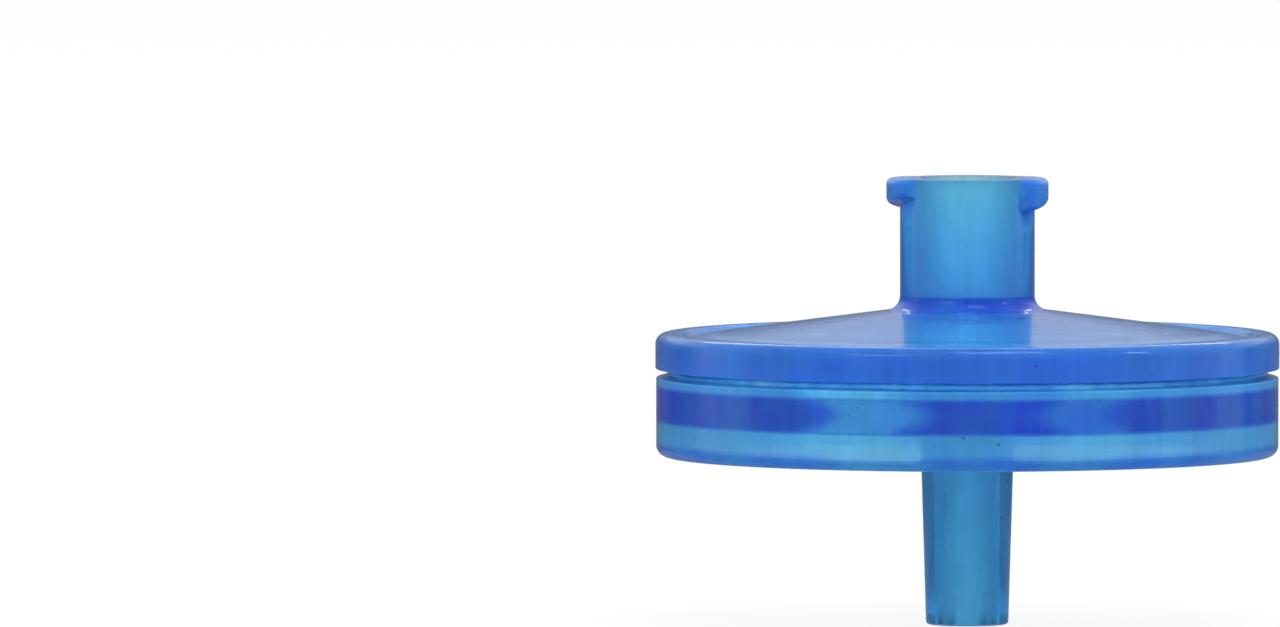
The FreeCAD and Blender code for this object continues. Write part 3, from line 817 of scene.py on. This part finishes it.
def make_show_through():
    """Node group for what shows through roof and tube: how bright each place is beside plain plastic.

    On the roof it follows the four ribs, the channels with their wells, the concentric grooves,
    the clamp ring and the wavy edge of the weld. On the tube it follows the parting line behind
    it and the warmer light at the mouth. Each is a band, with soft edges, of the distance from
    the axis or from a middle line. All of it is painted light and shade, drawn on the outer face,
    so it doesn't shift with the view as the parts behind would.
    """
    group = bpy.data.node_groups.new("show_through", "ShaderNodeTree")
    group.interface.new_socket("Light", in_out="OUTPUT", socket_type="NodeSocketColor")
    place = node(group, "ShaderNodeTexCoord").outputs["Object"]
    parts = node(group, "ShaderNodeSeparateXYZ", {"Vector": scaled(group, place, 1 / MM)}).outputs
    along, across = (maths(group, "ABSOLUTE", parts[axis]) for axis in "XY")
    squares = maths(group, "MULTIPLY_ADD", along, along, maths(group, "MULTIPLY", across, across))
    radius = maths(group, "SQRT", squares)

    def within(value, edge, soft):
        """1 below an edge and 0 past it, with a soft edge."""
        return ramp(group, value, edge - soft, edge + soft, 1, 0)

    def band(value, inner, outer, soft):
        """1 between two values and 0 outside them, with soft edges."""
        rise = ramp(group, value, inner - soft, inner + soft, 0, 1)
        return maths(group, "MULTIPLY", rise, within(value, outer, soft))

    # inside the chamber
    rib = within(maths(group, "MINIMUM", along, across), RIB_HALF_WIDTH, 0.1)
    turn = maths(group, "MULTIPLY_ADD", radius, 2 * math.pi / GROOVE_PITCH,
                 -2 * math.pi * GROOVE_FIRST / GROOVE_PITCH)
    rings = maths(group, "COSINE", turn)
    from_diagonal = maths(group, "ABSOLUTE", maths(group, "SUBTRACT", along, across))
    channel = within(from_diagonal, CHANNEL_HALF_WIDTH * 1.4, 0.15)
    well = band(radius, WELL_PLACE - WELL_RADIUS, WELL_PLACE + WELL_RADIUS, 0.15)
    well = maths(group, "MULTIPLY", channel, well)
    light = maths(group, "MULTIPLY", rib, RIB_LIGHT)
    for mask, change in ((rings, RING_LIGHT), (channel, CHANNEL_LIGHT), (well, WELL_LIGHT)):
        light = maths(group, "MULTIPLY_ADD", mask, change, light)
    light = maths(group, "MULTIPLY", light, band(radius, CHAMBER_SEEN_FROM, GRID_RADIUS, 0.1))

    # clamp ring and weld, and then the roof alone
    clamp = band(radius, GRID_RADIUS, CLAMP_OUTER, 0.1)
    wavy = maths(group, "MULTIPLY_ADD", noise(group, place, 260, 3, 0.6), 0.8, radius)
    for mask, change in ((clamp, CLAMP_LIGHT), (band(wavy, *WELD_EDGE, 0.15), WELD_LIGHT)):
        light = maths(group, "MULTIPLY_ADD", mask, change, light)
    light = maths(group, "MULTIPLY", light, band(parts["Z"], ROOF_EDGE_LEVEL, ROOF_FOOT, 0.05))

    # parting line and mouth
    line = maths(group, "MULTIPLY", within(along, 0.1, 0.1), band(parts["Z"], ROOF_FOOT + 0.5, 18.0, 1.0))
    light = maths(group, "MULTIPLY_ADD", line, LINE_LIGHT, maths(group, "ADD", light, 1.0))
    mouth = ramp(group, parts["Z"], MOUTH_WARM_LIGHT_START, HUB_TOP, 0, 1)
    warm = blended(group, mouth, (1, 1, 1, 1), MOUTH_WARM_LIGHT)
    node(group, "NodeGroupOutput", {"Light": scaled(group, warm, light)})
    return group


def make_clear_plastic(name, finish, show_through, absorption, thin_body, deep_body):
    """Clear coloured plastic that darkens with its depth, with a milky body where it is thick.

    The milk's share is a tenth, plus 0.75 of the haze and 0.6 of the milkiness. It fades with
    frosting and leaves the inner side of a face clear.
    """
    material, tree, output = new_material(name)
    skin = node(tree, "ShaderNodeGroup", {}, node_tree=finish)
    for socket, value in (("Tint", (0.87, 1, 1, 1)), ("Cloud", (0.78, 0.95, 0.98, 1)), ("Gloss", 0.07),
                          ("Smear", 0.16), ("Frosting", 0.4), ("Thin Body", thin_body),
                          ("Deep Body", deep_body), ("Pale Melt And Painted Light", (0.22, 0.6, 0.98, 1))):
        skin.inputs[socket].default_value = value
    bump = node(tree, "ShaderNodeBump", {
        "Height": skin.outputs["Height"], "Strength": 0.12, "Distance": 0.05 * MM})
    shine = {"Roughness": skin.outputs["Roughness"], "Normal": bump.outputs["Normal"], "IOR": 1.49,
             "Specular IOR Level": 0.2, "Specular Tint": (0.4, 0.5, 0.75, 1)}
    # painted light and shade of the parts behind the roof and the tube, on both colours
    light = node(tree, "ShaderNodeGroup", {}, node_tree=show_through).outputs["Light"]
    clear, body = (node(tree, "ShaderNodeVectorMath", {0: skin.outputs[colour], 1: light},
                        operation="MULTIPLY").outputs["Vector"] for colour in ("Color", "Body"))
    glass = node(tree, "ShaderNodeBsdfPrincipled", {**shine, "Base Color": clear, "Transmission Weight": 1.0})
    milk = node(tree, "ShaderNodeBsdfPrincipled", {
        **shine, "Base Color": body, "Subsurface Weight": 1.0,
        "Subsurface Radius": (0.4, 1.0, 1.7), "Subsurface Scale": 0.35 * MM})
    frost, haze, milkiness = read_marks(tree)
    share = maths(tree, "MULTIPLY_ADD", haze, 0.75, 0.1)
    share = maths(tree, "MULTIPLY_ADD", milkiness, 0.6, share)
    inner_side = node(tree, "ShaderNodeNewGeometry").outputs["Backfacing"]
    for hidden in (frost, inner_side):
        share = maths(tree, "MULTIPLY", share, maths(tree, "SUBTRACT", 1.0, hidden))
    both = node(tree, "ShaderNodeMixShader", {0: share, 1: glass.outputs["BSDF"], 2: milk.outputs["BSDF"]})
    depth = node(tree, "ShaderNodeVolumeAbsorption", {"Color": absorption, "Density": 1500})
    tree.links.new(both.outputs["Shader"], output.inputs["Surface"])
    tree.links.new(depth.outputs["Volume"], output.inputs["Volume"])
    return material


def make_membrane_material():
    """White membrane with fine pores and faint clouds, half see-through because it is so thin."""
    material, tree, output = new_material("membrane_white")
    place = node(tree, "ShaderNodeTexCoord").outputs["Object"]
    pores = noise(tree, place, 9000, 3)
    colour = blended(tree, noise(tree, place, 300, 2), (0.78, 0.84, 0.9, 1), (0.88, 0.92, 0.96, 1))
    bump = node(tree, "ShaderNodeBump", {"Height": pores, "Strength": 0.4, "Distance": 0.01 * MM})
    shader = node(tree, "ShaderNodeBsdfPrincipled", {
        "Base Color": colour, "Roughness": ramp(tree, pores, 0, 1, 0.2, 0.35),
        "Normal": bump.outputs["Normal"], "Transmission Weight": 0.5, "IOR": 1.1})
    tree.links.new(shader.outputs["BSDF"], output.inputs["Surface"])
    return material


# ---------------------------------------------------------------- setting

def seen_white(tree):
    """1 for camera, glossy and transmission rays, which see the plain white setting, else 0."""
    path = node(tree, "ShaderNodeLightPath").outputs
    mirrored = maths(tree, "MAXIMUM", path["Is Camera Ray"], path["Is Glossy Ray"])
    return maths(tree, "MAXIMUM", mirrored, path["Is Transmission Ray"])


def make_floor():
    """Pale floor under the tip's end: white to the camera, with the object's shadow kept.

    Its back is clear, so that the filter can be looked at from beneath.
    """
    reach, hair = 30.0, 0.01 * MM
    mesh = bpy.data.meshes.new("floor")
    corners = [(-reach, -reach, 0), (reach, -reach, 0), (reach, reach, 0), (-reach, reach, 0)]
    mesh.from_pydata(corners, [], [(0, 1, 2, 3)])
    floor = bpy.data.objects.new("floor", mesh)
    bpy.context.scene.collection.objects.link(floor)
    floor.location.z = cad_low[2] - hair
    material, tree, output = new_material("floor_white")
    matt = node(tree, "ShaderNodeBsdfDiffuse", {"Color": (0.9, 0.9, 0.9, 1)})
    glow = node(tree, "ShaderNodeEmission", {"Color": (1, 1, 1, 1), "Strength": 1.0})
    share = maths(tree, "MULTIPLY", seen_white(tree), 0.9)
    top = node(tree, "ShaderNodeMixShader", {0: share, 1: matt.outputs["BSDF"], 2: glow.outputs["Emission"]})
    back = node(tree, "ShaderNodeNewGeometry").outputs["Backfacing"]
    clear = node(tree, "ShaderNodeBsdfTransparent")
    both = node(tree, "ShaderNodeMixShader", {0: back, 1: top.outputs["Shader"], 2: clear.outputs["BSDF"]})
    tree.links.new(both.outputs["Shader"], output.inputs["Surface"])
    mesh.materials.append(material)


def make_world():
    """White surroundings for what sees them, and a softer white that lights the object."""
    lighting, seen = 0.95, 1.0
    world = bpy.data.worlds.new("white_room")
    world.use_nodes = True
    bpy.context.scene.world = world
    tree = world.node_tree
    tree.nodes.clear()
    strength = ramp(tree, seen_white(tree), 0, 1, lighting, seen)
    ground = node(tree, "ShaderNodeBackground", {"Color": (1, 1, 1, 1), "Strength": strength})
    output = node(tree, "ShaderNodeOutputWorld")
    tree.links.new(ground.outputs["Background"], output.inputs["Surface"])


def direction(azimuth, elevation):
    """The way out to an azimuth and elevation in degrees; azimuth 0 is in front, on the -Y side."""
    across, up = math.radians(azimuth), math.radians(elevation)
    return Vector((math.sin(across) * math.cos(up), -math.cos(across) * math.cos(up), math.sin(up)))


def add_light(name, azimuth, elevation, distance, width, height, power):
    """A soft rectangular lamp aimed at the filter, with its place in degrees and metres."""
    lamp = bpy.data.lights.new(name, "AREA")
    lamp.shape = "RECTANGLE"
    lamp.size, lamp.size_y, lamp.energy = width, height, power
    item = bpy.data.objects.new(name, lamp)
    bpy.context.scene.collection.objects.link(item)
    away = direction(azimuth, elevation)
    item.location = Vector((0, 0, cad_high[2] / 2)) + away * distance
    item.rotation_euler = (-away).to_track_quat("-Z", "Y").to_euler()


def add_card(name, azimuths, rows, passes_light):
    """A grey card that the gloss on the filter shows, as a studio's flags do beside glass.

    It is a strip bent round the filter. Each row gives its distance and height in millimetres,
    and either one grey or the grey of each azimuth. Light that comes through the plastic may pass it.
    """
    points = [direction(azimuth, 0) * distance * MM + Vector((0, 0, height * MM))
              for distance, height, grey in rows for azimuth in azimuths]
    count = len(azimuths)
    starts = [row * count + column for row in range(len(rows) - 1) for column in range(count - 1)]
    faces = [(corner, corner + 1, corner + 1 + count, corner + count) for corner in starts]
    greys = np.concatenate([np.broadcast_to(grey, count) for distance, height, grey in rows])
    mesh = bpy.data.meshes.new(name)
    mesh.from_pydata(points, [], faces)
    mesh.attributes.new("grey", "FLOAT", "POINT").data.foreach_set("value", greys)
    card = bpy.data.objects.new(name, mesh)
    bpy.context.scene.collection.objects.link(card)
    card.visible_camera = card.visible_diffuse = card.visible_shadow = False
    card.visible_transmission = not passes_light
    material, tree, output = new_material(name)
    grey = node(tree, "ShaderNodeAttribute", attribute_name="grey").outputs["Fac"]
    glow = node(tree, "ShaderNodeEmission", {"Color": (1, 1, 1, 1), "Strength": grey})
    tree.links.new(glow.outputs["Emission"], output.inputs["Surface"])
    mesh.materials.append(material)


def make_camera():
    """Camera far off at a long focal length, a little above the rim, turned to leave room at the left.

    Its angles are in degrees, and its distance, aim and clip limits in metres.
    """
    elevation, distance = 2.72, 1.3333
    turn_left = math.radians(0.677)
    aim = Vector((0, 0, 0.01496))
    lens = bpy.data.cameras.new("camera")
    lens.sensor_width = 36
    lens.lens = 780
    lens.clip_start, lens.clip_end = 0.1, 200
    camera = bpy.data.objects.new("camera", lens)
    bpy.context.scene.collection.objects.link(camera)
    camera.location = aim + direction(0, elevation) * distance
    camera.rotation_euler = (math.pi / 2 - math.radians(elevation), 0, turn_left)
    bpy.context.scene.camera = camera


# ---------------------------------------------------------------- putting it together

groups = {"finish": make_moulded_finish(), "show_through": make_show_through()}
inlet_blue = make_clear_plastic("inlet_blue", **groups, absorption=(0.4, 0.815, 0.98, 1),
                                thin_body=(0.08, 0.415, 0.92, 1), deep_body=(0.013, 0.072, 0.49, 1))
outlet_blue = make_clear_plastic("outlet_blue", **groups, absorption=(0.36, 0.78, 0.99, 1),
                                 thin_body=(0.08, 0.42, 0.585, 1), deep_body=(0.011, 0.056, 0.45, 1))
white = make_membrane_material()

inlet_shell = make_piece("inlet_shell", ring_surface(inlet_blocks()), divider(), weld_flash())
outlet_shell = make_piece("outlet_shell", ring_surface(outlet_blocks()))
membrane_disc = make_piece("membrane_disc", membrane())

for piece, material, slot, cad_node in (
        (inlet_shell, inlet_blue, "inlet_plastic", "inlet_housing"),
        (outlet_shell, outlet_blue, "outlet_plastic", "outlet_housing"),
        (membrane_disc, white, "membrane", "filter_membrane")):
    piece.data.materials.append(material)
    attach(piece, "root")
    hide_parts(cad_node)

make_floor()
make_world()
add_light("soft_top", azimuth=20, elevation=65, distance=0.6, width=0.25, height=0.25, power=1.2)
add_light("soft_front", azimuth=-35, elevation=30, distance=0.7, width=0.25, height=0.2, power=0.8)
add_light("soft_right", azimuth=72, elevation=32, distance=0.7, width=0.08, height=0.08, power=0.6)
add_light("soft_back", azimuth=180, elevation=33, distance=0.7, width=0.5, height=0.05, power=0.5)

# grey cards at the sides, low and high behind the filter, and on the ground round it
low_greys, high_greys = (1, 0.15, 0.15, 0.2), (1, 0.3, 0.5, 0.7)
side_rows = ((60, 0.3, low_greys), (60, 18, low_greys), (60, 28, high_greys))
for name, side in (("left_card", -1), ("right_card", 1)):
    add_card(name, [side * azimuth for azimuth in (100, 114, 154, 167)], side_rows, passes_light=False)
add_card("rear_card", (167, 180, 193), ((61, 0.3, 0.18), (61, 18, 0.18), (61, 27, 0.5)), passes_light=True)
add_card("back_card", (164, 180, 196), ((200, 13, 0.45), (200, 104, 0.8)), passes_light=True)
add_card("ground_card", range(0, 361, 30), ((1, 0.05, 0.3), (60, 0.05, 0.3), (75, 0.05, 1)),
         passes_light=True)
make_camera()

scene = bpy.context.scene
scene.view_settings.view_transform = "Standard"
scene.cycles.max_bounces = 24
scene.cycles.transmission_bounces = 24
